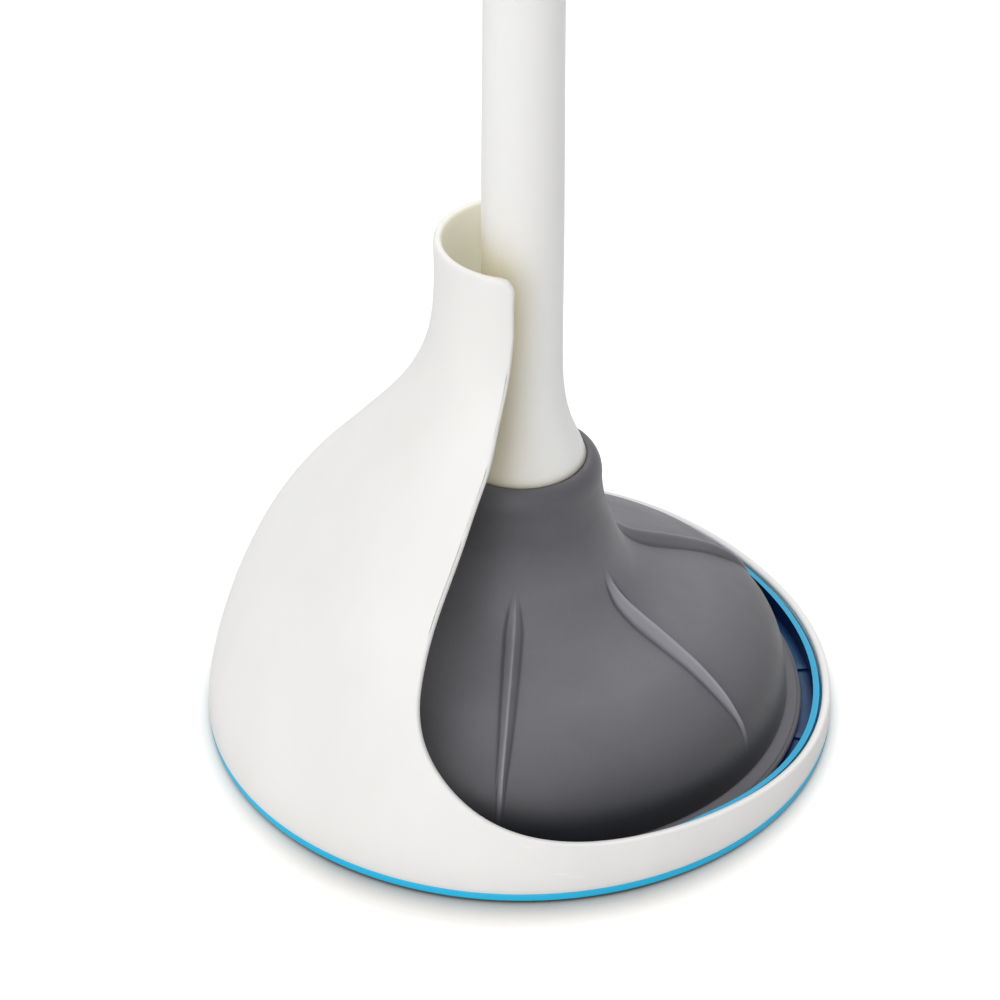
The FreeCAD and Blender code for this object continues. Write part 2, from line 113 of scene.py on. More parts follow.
# along the bell: (z, rib height), (z, half width), (z, lean in degrees)
RIB_CREST = [
    (15.0, 0.0), (18.0, 0.3), (21.4, 0.6), (23.3, 0.9), (25.1, 1.3), (27.3, 1.9),
    (29.6, 2.4), (32.4, 2.6), (34.9, 2.8), (37.1, 3.1), (38.9, 3.3), (41.5, 3.0),
    (45.2, 1.9), (49.5, 0.6), (51.5, 0.2), (53.5, 0.0)]
RIB_WIDTH = [(15, 0.6), (20, 0.8), (25, 1.05), (30, 1.35), (35, 1.6), (40, 1.8),
             (45, 1.85), (50, 1.2), (54, 0.35)]
RIB_LEAN = [(15, -1.25), (25, -1.05), (45, 0.0)]

# ---------------------------------------------------------------- handle, mm
# outer profile, foot upwards: (radius, z)
SHAFT_OUT = [
    (16.95, SHAFT_FOOT_Z), (14.97, 85.2), (13.55, 88.6), (12.5, 91.9), (11.75, 95.0),
    (11.2, 98.2), (10.82, 101.4), (10.58, 104.6), (10.46, 108.0), (10.40, 113.0),
    (10.35, 143.0), (10.1, 180.0), (9.9, 208.0), (9.8, 240.0), (9.75, 330.0)]
SHAFT_R = SHAFT_OUT[-1][0]
SHAFT_BORE_R = 7.35
SHAFT_WIDE_BORE_R = 8.05              # bore between the foot hollow and the long bore
SHAFT_HOLLOW_R = 15.6                 # inside the flared foot
SHAFT_TOP = 484.0
GRIP_Z0, GRIP_Z1 = 352.0, 478.0
GRIP_BORE_R = 9.78
# outer profile: (radius, height above the grip's lower end)
GRIP_OUT = [(11.4, 0.9), (12.0, 8), (12.9, 28), (13.7, 55), (13.9, 72), (13.5, 96),
            (13.0, 112), (12.9, GRIP_Z1 - GRIP_Z0 - 0.9)]
GRIP_GROOVES, GRIP_GROOVE_START, GRIP_GROOVE_PITCH = 9, 22, 10.0
GRIP_GROOVE_HALF, GRIP_GROOVE_DEPTH, GRIP_GROOVE_LIP = 1.55, 0.72, 0.10
TURNED_COLUMNS = 96


# ---------------------------------------------------------------- curves and meshes
def unit(vectors):
    return vectors / np.linalg.norm(vectors, axis=1)[:, None]


def arc_length(points):
    """Running length at each point."""
    return np.r_[0, np.cumsum(np.linalg.norm(np.diff(points, axis=0), axis=1))]


def lookup(at, table):
    """Second column of a table, read at places in its first."""
    places, values = np.array(table).T
    return np.interp(at, places, values)


def spline(points, count):
    """Even samples along a natural cubic through 2-D points, solved over chord length."""
    p = np.array(points, float)
    knots = arc_length(p)
    size = len(knots)
    gap = np.diff(knots)
    matrix = np.zeros((size, size))
    target = np.zeros((size, 2))
    matrix[0, 0] = matrix[-1, -1] = 1
    for i in range(1, size - 1):
        matrix[i, i - 1:i + 2] = gap[i - 1], 2 * (gap[i - 1] + gap[i]), gap[i]
        target[i] = 6 * ((p[i + 1] - p[i]) / gap[i] - (p[i] - p[i - 1]) / gap[i - 1])
    bend = np.linalg.solve(matrix, target)
    dense = np.linspace(0, knots[-1], 40 * size)
    i = np.clip(np.searchsorted(knots, dense, side="right") - 1, 0, size - 2)
    after, before = (knots[i + 1] - dense)[:, None], (dense - knots[i])[:, None]
    h = gap[i][:, None]
    curve = ((bend[i] * after ** 3 + bend[i + 1] * before ** 3) / (6 * h)
             + (p[i] / h - bend[i] * h / 6) * after
             + (p[i + 1] / h - bend[i + 1] * h / 6) * before)
    length = arc_length(curve)
    even = np.linspace(0, length[-1], count)
    return np.c_[np.interp(even, length, curve[:, 0]), np.interp(even, length, curve[:, 1])]


def side_offset(curve, distance):
    """A 2-D curve moved to the left of its direction."""
    heading = unit(np.gradient(curve, axis=0))
    return curve + distance * np.c_[-heading[:, 1], heading[:, 0]]


def rounded(corners, steps=4):
    """Closed outline from (radius, z, corner radius), each corner turned into a small curve."""
    out = []
    for i, (*place, corner_r) in enumerate(corners):
        p = np.array(place, float)
        if corner_r <= 0:
            out.append(p)
            continue
        back = np.array(corners[i - 1][:2], float) - p
        ahead = np.array(corners[(i + 1) % len(corners)][:2], float) - p
        back_len, ahead_len = np.linalg.norm(back), np.linalg.norm(ahead)
        back, ahead = back / back_len, ahead / ahead_len
        angle = math.acos(max(-1, min(1, float(back @ ahead))))
        cut = min(corner_r / math.tan(angle / 2), 0.49 * back_len, 0.49 * ahead_len)
        for k in range(steps + 1):
            u = k / steps
            out.append((1 - u) ** 2 * (p + back * cut) + 2 * u * (1 - u) * p
                       + u * u * (p + ahead * cut))
    return np.array(out)


def polar(radius, z, angle):
    """Points from cylindrical coordinates in radians; the arrays are broadcast together."""
    radius, z, angle = np.broadcast_arrays(radius, z, angle)
    return np.stack([radius * np.cos(angle), radius * np.sin(angle), z], axis=-1)


def ring_solid(name, rings, material):
    """Mesh from rings x columns x 3 points in mm, closed in both directions."""
    rings = np.array(rings)
    index = np.arange(rings.shape[0] * rings.shape[1]).reshape(rings.shape[:2])
    beside = np.roll(index, -1, axis=1)
    quads = np.stack([index, beside, np.roll(beside, -1, axis=0), np.roll(index, -1, axis=0)],
                     axis=-1)
    mesh = bpy.data.meshes.new(name)
    mesh.from_pydata((rings.reshape(-1, 3) * MM).tolist(), [], quads.reshape(-1, 4).tolist())
    mesh.update()
    mesh.validate(verbose=False)
    mesh.polygons.foreach_set("use_smooth", [True] * len(mesh.polygons))
    piece = bpy.data.objects.new(name, mesh)
    SCENE.collection.objects.link(piece)
    mesh.materials.append(material)
    return piece


def lathe(name, outline, material):
    """Turned solid from a closed outline of (radius, z)."""
    angles = np.linspace(0, 2 * math.pi, TURNED_COLUMNS, endpoint=False)
    return ring_solid(name, polar(outline[:, :1], outline[:, 1:], angles), material)


# ---------------------------------------------------------------- shader helpers
class Nodes:
    """Adds nodes to a tree. Values may be numbers, tuples or sockets; results are sockets."""

    def __init__(self, tree):
        self.tree = tree

    def add(self, kind, **settings):
        node = self.tree.nodes.new(kind)
        for key, value in settings.items():
            setattr(node, key, value)
        return node

    def feed(self, socket, value):
        if isinstance(value, bpy.types.NodeSocket):
            self.tree.links.new(value, socket)
        else:
            socket.default_value = value

    def math(self, operation, *values):
        node = self.add("ShaderNodeMath", operation=operation)
        for socket, value in zip(node.inputs, values):
            self.feed(socket, value)
        return node.outputs[0]

    def times(self, a, b):
        return self.math("MULTIPLY", a, b)

    def either(self, a, b):
        return self.math("MAXIMUM", a, b)

    def vector(self, operation, *values, scale=None):
        node = self.add("ShaderNodeVectorMath", operation=operation)
        for socket, value in zip(node.inputs, values):
            self.feed(socket, value)
        if scale is not None:
            self.feed(node.inputs["Scale"], scale)
        return node.outputs["Value" if operation in ("DOT_PRODUCT", "LENGTH") else "Vector"]


class Material(Nodes):
    """A node material with one shader and the helpers that feed it."""

    def __init__(self, name, shader="ShaderNodeBsdfPrincipled"):
        self.data = bpy.data.materials.new(name)
        self.data.use_nodes = True
        super().__init__(self.data.node_tree)
        self.tree.nodes.clear()
        output = self.add("ShaderNodeOutputMaterial")
        self.shader = self.add(shader)
        self.feed(output.inputs["Surface"], self.shader.outputs[0])
        self.coords = self.add("ShaderNodeTexCoord").outputs

    def surface(self, values):
        for name, value in values.items():
            self.feed(self.shader.inputs[name], value)

    def noise(self, scale, detail=3.0, rough=0.5, stretch=None):
        node = self.add("ShaderNodeTexNoise")
        for key, value in (("Scale", scale), ("Detail", detail), ("Roughness", rough)):
            node.inputs[key].default_value = value
        place = self.coords["Object"]
        if stretch:
            mapping = self.add("ShaderNodeMapping")
            mapping.inputs["Scale"].default_value = stretch
            self.feed(mapping.inputs["Vector"], place)
            place = mapping.outputs["Vector"]
        self.feed(node.inputs["Vector"], place)
        return node.outputs["Fac"]

    def grey_ramp(self, source, low, high):
        """Grey between two stops of (position, value)."""
        node = self.add("ShaderNodeValToRGB")
        for element, (position, grey) in zip(node.color_ramp.elements, (low, high)):
            element.position = position
            element.color = (grey, grey, grey, 1)
        self.feed(node.inputs["Fac"], source)
        return node.outputs["Color"]

    def remap(self, source, span, to=(0, 1)):
        """Clamped linear map from span onto to."""
        node = self.add("ShaderNodeMapRange")
        for key, value in zip(("From Min", "From Max", "To Min", "To Max"), (*span, *to)):
            node.inputs[key].default_value = value
        self.feed(node.inputs["Value"], source)
        return node.outputs["Result"]

    def mix(self, factor, a, b, blend="MIX"):
        node = self.add("ShaderNodeMix", data_type="RGBA", blend_type=blend)
        for slot, value in ((0, factor), (6, a), (7, b)):
            self.feed(node.inputs[slot], value)
        return node.outputs[2]

    def drifting(self, scale, a, b, detail=3.0, rough=0.5, span=(0.35, 0.65), stretch=None):
        """Slow drift between two colours."""
        noise = self.noise(scale=scale, detail=detail, rough=rough, stretch=stretch)
        return self.mix(self.remap(noise, span=span), a, b)

    def openness(self, distance):
        """1 in the open, lower where surfaces close in within the distance."""
        node = self.add("ShaderNodeAmbientOcclusion", samples=8)
        node.inputs["Distance"].default_value = distance
        return node.outputs["AO"]

    def separate(self, coords):
        node = self.add("ShaderNodeSeparateXYZ")
        self.feed(node.inputs["Vector"], self.coords[coords])
        return node.outputs

    def height(self, span, to=(0, 1)):
        """Ramp over z in the piece's own frame."""
        return self.remap(self.separate("Object")["Z"], span, to)

    def radius(self, span, to):
        """Ramp over distance from the Z axis."""
        flat = self.vector("MULTIPLY", self.coords["Object"], (1, 1, 0))
        return self.remap(self.vector("LENGTH", flat), span, to)

    def facing_up(self, to):
        return self.remap(self.separate("Normal")["Z"], (0.55, 0.9), to)

    def edge(self, soft_span, top, soft):
        """0 on smooth faces, up to top on outer edges; soft reads the mesh's own curvature."""
        geometry = self.add("ShaderNodeNewGeometry").outputs
        if soft:
            return self.remap(geometry["Pointiness"], soft_span, (0, top))
        bevel = self.add("ShaderNodeBevel", samples=4)
        bevel.inputs["Radius"].default_value = 0.0008
        turn = self.vector("DOT_PRODUCT", bevel.outputs["Normal"], geometry["Normal"])
        return self.remap(turn, (0.965, 0.80), (0, top))

    def bump(self, height, strength, distance, over=None):
        node = self.add("ShaderNodeBump")
        node.inputs["Strength"].default_value = strength
        node.inputs["Distance"].default_value = distance
        self.feed(node.inputs["Height"], height)
        if over is not None:
            self.feed(node.inputs["Normal"], over)
        return node.outputs["Normal"]


def srgb(*channels):
    """Linear RGBA from 0-255 sRGB channels."""
    shares = [c / 255.0 for c in channels]
    return tuple(c / 12.92 if c <= 0.04045 else ((c + 0.055) / 1.055) ** 2.4
                 for c in shares) + (1.0,)


def paler(colour, gain):
    return tuple(min(1.0, c * gain + 0.02) for c in colour[:3]) + (1.0,)


# ---------------------------------------------------------------- material families
def moulded(name, base, tint, rough, peel=0.000010, edge=0.25, soft=False, scatter=0.0,
            grain=0.0, specular=0.5, shade=None):
    """Moulded plastic: tone drift, flow marks, orange peel, haze and lighter rubbed edges."""
    m = Material(name)
    colour = m.drifting(14, base, tint)
    flow = m.noise(scale=60, detail=2, stretch=(1, 1, 0.12))
    colour = m.mix(0.06, colour, m.grey_ramp(flow, (0.3, 0.55), (0.7, 1.0)), blend="MULTIPLY")
    worn = m.edge(soft_span=(0.52, 0.60), top=edge, soft=soft)
    rub = m.noise(scale=220, rough=0.6)
    worn = m.times(worn, m.remap(rub, span=(0.35, 0.6), to=(0.35, 1.0)))
    colour = m.mix(worn, colour, paler(base, gain=1.12))
    # painted shade and light from the shade function, where one is given
    if shade:
        colour = shade(m, colour)
    haze = m.noise(scale=38, detail=5, rough=0.62)
    fine = m.noise(scale=900, detail=2)
    fine_share = 0.25
    gloss = m.math("MULTIPLY_ADD", fine, fine_share, haze)
    normal = m.bump(m.noise(scale=520, detail=2, rough=0.45), strength=0.55, distance=peel)
    normal = m.bump(m.noise(scale=70, detail=2), strength=0.35, distance=peel * 2.0,
                    over=normal)
    if grain:
        normal = m.bump(m.noise(scale=2600, rough=0.7), strength=0.8, distance=grain,
                        over=normal)
    m.surface({"Base Color": colour, "Roughness": m.remap(gloss, span=(0.40, 0.85), to=rough),
               "Normal": normal, "Specular IOR Level": specular})
    if scatter:
        m.surface({"Subsurface Weight": scatter, "Subsurface Scale": 1.0,
                   "Subsurface Radius": (0.0030, 0.0026, 0.0022)})
    return m.data


def rubber(name, base, tint, rough, grain=0.00006, soft=False, shade=None):
    """Moulded rubber: satin skin with a fine matt grain and a little bloom."""
    m = Material(name)
    light = paler(base, gain=1.6)
    colour = m.drifting(22, base, tint, detail=4, rough=0.55)
    speck = m.noise(scale=1500, detail=2, rough=0.6)
    colour = m.mix(0.10, colour, m.grey_ramp(speck, (0.35, 0.6), (0.65, 1.0)),
                   blend="MULTIPLY")
    bloom = m.noise(scale=48, detail=5, rough=0.6)
    colour = m.mix(m.remap(bloom, span=(0.50, 0.78), to=(0, 0.10)), colour, light)
    # lighter on sharp edges: rubbed wear, and painted sheen along the rib crests
    colour = m.mix(m.edge(soft_span=(0.515, 0.58), top=0.55, soft=soft), colour, light)
    # painted shade and light from the shade function, where one is given
    if shade:
        colour = shade(m, colour, light)
    haze = m.noise(scale=64, detail=4, rough=0.6)
    normal = m.bump(m.noise(scale=2200, rough=0.65), strength=0.6, distance=grain)
    normal = m.bump(m.noise(scale=95, detail=2), strength=0.30, distance=grain * 2,
                    over=normal)
    m.surface({"Base Color": colour, "Roughness": m.remap(haze, span=(0.35, 0.65), to=rough),
               "Normal": normal, "Sheen Weight": 0.15, "Sheen Roughness": 0.5,
               "Specular IOR Level": 0.42})
    return m.data


def steel(name, base, rough, stretch):
    """Bare steel with fine lines drawn out by the stretch."""
    m = Material(name)
    lines = m.noise(scale=420, detail=4, rough=0.6, stretch=stretch)
    darker = tuple(c * 0.8 for c in base[:3]) + (1,)
    m.surface({"Base Color": m.mix(m.remap(lines, span=(0.3, 0.7)), base, darker),
               "Metallic": 1.0,
               "Roughness": m.remap(lines, span=(0.3, 0.7), to=rough),
               "Normal": m.bump(lines, strength=0.4, distance=0.00002)})
    return m.data


# ---------------------------------------------------------------- painted shade and light in hollows and on the ribs
def paint_shell_warm_bounce(m, colour):
    """Painted warm bounce light in the hollows inside the bell, fading in with height."""
    hollow = m.remap(m.openness(distance=0.035), span=(1.0, 0.30), to=(0, 0.90))
    return m.mix(m.times(hollow, m.height(span=(0.03, 0.07))), colour, srgb(254, 249, 225))


def paint_shaft_collar_shade(m, colour):
    """Painted warm shade on the shaft's enclosed lower part, below the collar."""
    hollow = m.remap(m.openness(distance=0.035), span=(1.0, 0.40), to=(0, 0.90))
    return m.mix(m.times(hollow, m.height(span=(0.165, 0.135))), colour, srgb(224, 216, 190))


def paint_tray_shade(m, colour):
    """Painted shade inside the wall in deep blue, strongest low down and on faces that don't look
    up, with a lighter painted shade over the whole inside.
    """
    wall = (0.0803, 0.0812)               # radii the effect fades out between
    hollow = m.remap(m.openness(distance=0.014), span=(1.0, 0.45), to=(0, 1.0))
    hollow = m.times(hollow, m.radius(span=wall, to=(1, 0)))
    hollow = m.times(hollow, m.height(span=(0.0130, 0.0088), to=(0.35, 1.0)))
    open_face = m.either(m.facing_up(to=(1, 0)), m.height(span=(0.0062, 0.0066), to=(1, 0)))
    hollow = m.times(hollow, open_face)
    hollow = m.either(hollow, m.radius(span=wall, to=(0.30, 0)))
    return m.mix(hollow, colour, srgb(0, 36, 92))


def paint_cup_shade_and_light(m, colour, light):
    """Painted shade towards the bell's foot, round the neck and where the shell closes in;
    painted light on the rib crests and flanks, painted shade at the rib feet.
    """
    dark = srgb(34, 34, 37)
    foot = 0.0069                         # height of the bell's foot
    # painted shade, darker towards the bell's foot and stopping at the lip
    low = m.math("POWER", m.height(span=(0.035, 0.0125)), 1.0)
    fac = m.times(low, m.height(span=(foot - 0.0002, foot + 0.0001), to=(0, 0.92)))
    # painted shade round the neck
    fac = m.either(fac, m.height(span=(0.053, 0.066), to=(0, 0.40)))
    # painted shade where the shell closes in round the bell
    enclosed = m.remap(m.openness(distance=0.030), span=(0.80, 0.30), to=(0, 0.50))
    fac = m.either(fac, m.times(enclosed, m.height(span=(foot, foot + 0.004))))
    colour = m.mix(fac, colour, dark)
    # painted light on the rib crests and flanks, painted shade at the rib feet
    for name, amount, tone in (("rib_painted_light", 1.0, light), ("rib_painted_shade", 0.60, dark)):
        mask = m.add("ShaderNodeAttribute", attribute_name=name).outputs["Fac"]
        colour = m.mix(m.remap(mask, span=(0, 1), to=(0, amount)), colour, tone)
    return colour


SHELL_WHITE = moulded("shell_white_plastic", base=srgb(244, 243, 241), tint=srgb(240, 239, 237),
                      rough=(0.30, 0.38), scatter=0.10, edge=0.35, soft=True,
                      shade=paint_shell_warm_bounce)
HANDLE_WHITE = moulded("handle_white_plastic", base=srgb(247, 247, 246),
                       tint=srgb(244, 243, 241), rough=(0.32, 0.42), scatter=0.10, edge=0.35,
                       soft=True, shade=paint_shaft_collar_shade)
TRAY_BLUE = moulded("tray_blue_plastic", base=srgb(52, 204, 250), tint=srgb(46, 196, 244),
                    rough=(0.34, 0.44), specular=0.30, shade=paint_tray_shade)
CUP_GREY = rubber("cup_grey_rubber", base=srgb(116, 115, 121), tint=srgb(110, 109, 115),
                  rough=(0.42, 0.56), soft=True, shade=paint_cup_shade_and_light)
GRIP_GREY = rubber("grip_grey_rubber", base=srgb(100, 99, 104), tint=srgb(93, 92, 97),
                   rough=(0.55, 0.7), grain=0.0001)
PAD_DARK = rubber("pad_dark_rubber", base=srgb(42, 42, 44), tint=srgb(36, 36, 38),
                  rough=(0.6, 0.75))
PLUG_GREY = moulded("plug_grey_plastic", base=srgb(190, 190, 186), tint=srgb(182, 182, 178),
                    rough=(0.45, 0.6), peel=0.00004, grain=0.00002)
WASHER_STEEL = steel("washer_brushed_steel", base=(0.56, 0.56, 0.55, 1), rough=(0.22, 0.38),
                     stretch=(1, 1, 60))
SCREW_STEEL = steel("screw_bright_steel", base=(0.62, 0.62, 0.61, 1), rough=(0.16, 0.28),
                    stretch=(8, 8, 8))


# ---------------------------------------------------------------- caddy shell
def free_edge(profile):
    """Angles and heights of the shell's free edge, from +X at the rim to -X on the collar."""
    x0, straight_end = OPENING[0]
    top = COLLAR_TOP + 0.5 * SHELL_T
    corner_r = COLLAR_CORNER_R
    turn = np.linspace(0, math.pi / 2, 40)
    corner = np.c_[x0 - corner_r + corner_r * np.sin(turn),
                   top - corner_r + corner_r * np.cos(turn)]
    straight = np.c_[np.full(30, x0), np.linspace(top - corner_r, straight_end, 32)[1:-1]]
    curve = np.r_[corner, straight, spline(OPENING, 900)]
    curve = side_offset(curve, -EDGE_BULGE)          # step back into the material
    curve[:40, 1] = np.minimum(curve[:40, 1], COLLAR_TOP)

    x, z = curve[::-1].T
    radius = np.interp(z, profile[:, 1], profile[:, 0])
    keep = (abs(x) < radius) & (z <= COLLAR_TOP)
    angle, z = np.arccos(x[keep] / radius[keep]), z[keep]
    angle, z = np.r_[0.0, angle], np.r_[z[0], z]     # start exactly on the XZ plane
    around = np.linspace(angle[-1], math.pi, 60)[1:]  # round the collar's top
    angle, z = np.r_[angle, around], np.r_[z, np.full(len(around), COLLAR_TOP)]
    length = arc_length(polar(np.interp(z, profile[:, 1], profile[:, 0]), z, angle))
    share = np.linspace(0, 1, HALF_COLUMNS)
    length /= length[-1]
    return np.interp(share, length, angle), np.interp(share, length, z)


def foot_angles():
    """Smoothed angles at which the columns stand on the foot."""
    angle = np.radians(lookup(np.linspace(0, 1, HALF_COLUMNS), FOOT_ANGLES))
    kernel = np.hanning(15)
    kernel /= kernel.sum()
    padded = np.r_[-angle[7:0:-1], angle, 2 * math.pi - angle[-2:-9:-1]]
    angle = np.convolve(padded, kernel, "valid")
    angle[0], angle[-1] = 0, math.pi
    return angle


def shell_rows(profile):
    """(angles, heights) of each mesh row, foot to free edge."""
    edge_angle, edge_z = free_edge(profile)
    foot = foot_angles()
    rows = [(foot, np.full(HALF_COLUMNS, z)) for z in FOOT_ROWS]
    # rows are spaced by length along the profile, so they stay even on the bell
    length = arc_length(profile)
    start = np.interp(FOOT_ROWS[-1], profile[:, 1], length)
    end = np.interp(edge_z, profile[:, 1], length)
    for j in range(1, BELL_ROWS + 1):
        share = j / BELL_ROWS
        z = np.interp(start + (end - start) * share, length, profile[:, 1])
        turn = share * share * (3 - 2 * share) * 0.35 + share * 0.65
        rows.append((foot + (edge_angle - foot) * turn, z))
    return rows


def mirrored(half):
    """Full ring from its +Y half."""
    return np.r_[half, half[-2:0:-1] * [1, -1, 1]]


def edge_cap(outer, inner, below):
    """Rings that round off the free edge, from the outer skin to the inner."""
    along = unit(np.roll(outer, -1, 0) - np.roll(outer, 1, 0))
    middle, half = 0.5 * (outer + inner), 0.5 * (outer - inner)
    outward = unit(np.cross(along, unit(half)))
    outward *= -math.copysign(1.0, float((outward * (below - outer)).sum()))
    # the edge grows to a full half round over the collar's last 6 mm
    near_top = np.clip((outer[:, 2] - (COLLAR_TOP - 6)) / 6, 0, 1)
    bulge = EDGE_BULGE + (0.5 * SHELL_T - EDGE_BULGE) * near_top
    rings = []
    for step in range(1, EDGE_STEPS):
        phase = math.pi * step / EDGE_STEPS
        across = math.copysign(abs(math.cos(phase)) ** (2 / EDGE_POWER), math.cos(phase))
        out = abs(math.sin(phase)) ** (2 / EDGE_POWER)
        rings.append(middle + half * across + outward * (bulge * out)[:, None])
    return rings


def build_shell():
    profile = spline(SHELL_OUT, 1600)
    heights = profile[:, 1]
    tangent = unit(np.gradient(profile, axis=0))
    (foot_r, foot_z), (next_r, next_z) = SHELL_OUT[:2]
    outer, inner = [], []
    for j, (angle, z) in enumerate(shell_rows(profile)):
        radius = np.interp(z, heights, profile[:, 0])
        outer.append(mirrored(polar(radius, z, angle)))
        above_foot = j - len(FOOT_ROWS) + 1
        if above_foot > 0:
            # the wall's lean eases in over six rows
            ease = min(1.0, above_foot / 6.0)
            inner_r = radius - SHELL_T * np.interp(z, heights, tangent[:, 1])
            inner_z = z + SHELL_T * np.interp(z, heights, tangent[:, 0]) * ease
        else:
            inner_z = z
            inner_r = np.interp(z, [foot_z, next_z], [foot_r - SHELL_T, next_r - SHELL_T])
            if GROOVE_Z0 < z[0] < GROOVE_Z1:
                inner_r = GROOVE_R
        inner.append(mirrored(polar(inner_r, inner_z, angle)))

    def foot_ring(ring, scale, lift):
        return ring * [scale, scale, 1] + [0, 0, lift]

    rings = [foot_ring(outer[0], 1 - step / foot_r, lift) for step, lift in FOOT_CORNER]
    rings += outer[1:] + edge_cap(outer[-1], inner[-1], below=outer[-2]) + inner[:0:-1]
    rings += [foot_ring(inner[0], 1 + step / FOOT_INNER_R, lift)
              for step, lift in FOOT_CORNER[::-1]]
    return ring_solid("shell_moulding", rings, SHELL_WHITE)


shell = build_shell()
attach(shell, "caddy")
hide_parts("caddy_shell")


# ---------------------------------------------------------------- rubber cup
def cup_outline(bell):
    """Closed (radius, z) outline of the cup, and the slice of it that is the bell."""
    roof = SOCKET_FLOOR - WEB_T
    inner = side_offset(spline(CUP_OUT, 200), CUP_WALL)
    inner = inner[(inner[:, 1] < roof - 3.0) & (inner[:, 0] > 18) & (inner[:, 1] > 9.0)]
    inner = spline([(67.6, CUP_FLOOR + 1.2), *inner[::10], (16.5, roof - 0.6), (14.5, roof)], 70)
    lip_turn = np.radians(np.linspace(-90, 90, 9))
    lip_edge = np.c_[LIP_R - LIP_EDGE_R + LIP_EDGE_R * np.cos(lip_turn),
                     CUP_FLOOR + LIP_EDGE_R + LIP_EDGE_R * np.sin(lip_turn)]
    underside = np.c_[np.linspace(69.6, LIP_R - 1.5, 6), np.full(6, CUP_FLOOR)]
    neck_side = np.c_[np.full(3, NECK_R), np.linspace(73.5, NECK_TOP - SHOULDER_H - 0.3, 3)]
    turn = np.radians(np.linspace(0, 90, 16))
    shoulder = np.c_[NECK_R - SHOULDER_W + SHOULDER_W * np.cos(turn),
                     NECK_TOP - SHOULDER_H + SHOULDER_H * np.sin(turn)]
    seat_z = SHAFT_FOOT_Z - 0.1
    seat = rounded([(SEAT_R, NECK_TOP - 0.02, 0.12), (SEAT_R, seat_z, 0.1),
                    (SOCKET_R, seat_z, 0.3), (SOCKET_R, SOCKET_FLOOR, 0.6),
                    (HOLE_R, SOCKET_FLOOR, 0.2), (HOLE_R, roof, 0.3), (14.5, roof, 0)])
    lip = np.r_[LIP_START, underside, lip_edge, LIP_HOLLOW]
    outline = np.r_[lip, bell, neck_side, shoulder, seat[:-1], inner[::-1]]
    return outline, slice(len(lip), len(lip) + len(bell))


def cup_ribs(bell, angles, offsets):
    """Rib height, a painted light mask (highlight along the crests, paler flanks on the side
    turned to the painted light's azimuth) and a painted shade mask at the rib feet, each bell
    rows x columns.
    """
    radius, z = bell.T
    kernel = np.hanning(9)
    height = np.pad(lookup(z, RIB_CREST), 3, mode="edge")
    height = np.convolve(height, kernel[1:-1] / kernel.sum(), mode="valid")
    height[height < 0.01] = 0
    height = height[:, None]
    width = lookup(z, RIB_WIDTH)[:, None]
    lean = lookup(z, RIB_LEAN)[:, None]
    across = np.radians(offsets - lean) * radius[:, None]
    # two flat flanks, one a little wider, a narrow rounded crest and a fillet at the foot
    t = np.where(across < 0, -across / (width * 1.15), across / (width * 0.9))
    peak = 1.0 - (np.sqrt(t ** 2 + 0.018) - 0.134)
    fillet = 0.16
    shape = (0.5 * (peak + np.sqrt(peak ** 2 + fillet ** 2))
             - 0.5 * fillet * fillet / (np.abs(peak) + fillet))
    shape = np.where(peak < 0, shape * np.exp(-(peak / 0.5) ** 2), shape)
    # masks fade where the rib is lower than 0.8 mm
    seen = np.minimum(1.0, height / 0.8)
    rib = np.floor((angles - RIB_ANGLE0 + RIB_PITCH / 2) / RIB_PITCH)
    flank_azimuth = rib * RIB_PITCH + RIB_ANGLE0 + np.where(across < 0, -90, 90)
    # painted light: flanks turned to the painted light's azimuth are painted paler, and each
    # crest gets a painted highlight
    facing = np.cos(np.radians(flank_azimuth - PAINTED_LIGHT_AZIMUTH))
    pale = np.clip(0.15 + 0.60 * facing, 0, 0.65) * np.clip(shape * 3.5, 0, 1)
    crest = seen * (0.80 * np.exp(-(t / 0.22) ** 2) + pale)
    # painted shade along the feet of the ribs
    foot = seen * np.exp(-((t - 1.25) / 0.25) ** 2)
    return height * shape, crest, foot


def build_cup():
    bell = spline(CUP_OUT, 110)
    outline, on_bell = cup_outline(bell)
    # columns crowd towards each rib
    spread = np.linspace(-1, 1, 49)
    near = RIB_ZONE * np.sign(spread) * np.abs(spread) ** 1.5
    between = np.linspace(RIB_ZONE, RIB_PITCH - RIB_ZONE, 21)[1:-1]
    pitch = np.concatenate([near, between])
    angles = np.concatenate([pitch + RIB_PITCH * k + RIB_ANGLE0 for k in range(RIBS)])
    offsets = np.tile(np.where(pitch > RIB_PITCH / 2, pitch - RIB_PITCH, pitch), RIBS)

    raised, crest, foot = cup_ribs(bell, angles, offsets)
    heading = unit(np.gradient(bell, axis=0))
    radius = np.repeat(outline[:, :1], len(angles), axis=1)
    z = np.repeat(outline[:, 1:], len(angles), axis=1)
    radius[on_bell] += heading[:, 1:] * raised
    z[on_bell] -= heading[:, :1] * raised
    piece = ring_solid("cup_moulding", polar(radius, z, np.radians(angles)), CUP_GREY)
    for name, mask in (("rib_painted_light", crest), ("rib_painted_shade", foot)):
        values = np.zeros(radius.shape, np.float32)
        values[on_bell] = mask
        attribute = piece.data.attributes.new(name, "FLOAT", "POINT")
        attribute.data.foreach_set("value", values.ravel())
    return piece


cup = build_cup()
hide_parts("rubber_cup")
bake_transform(cup)


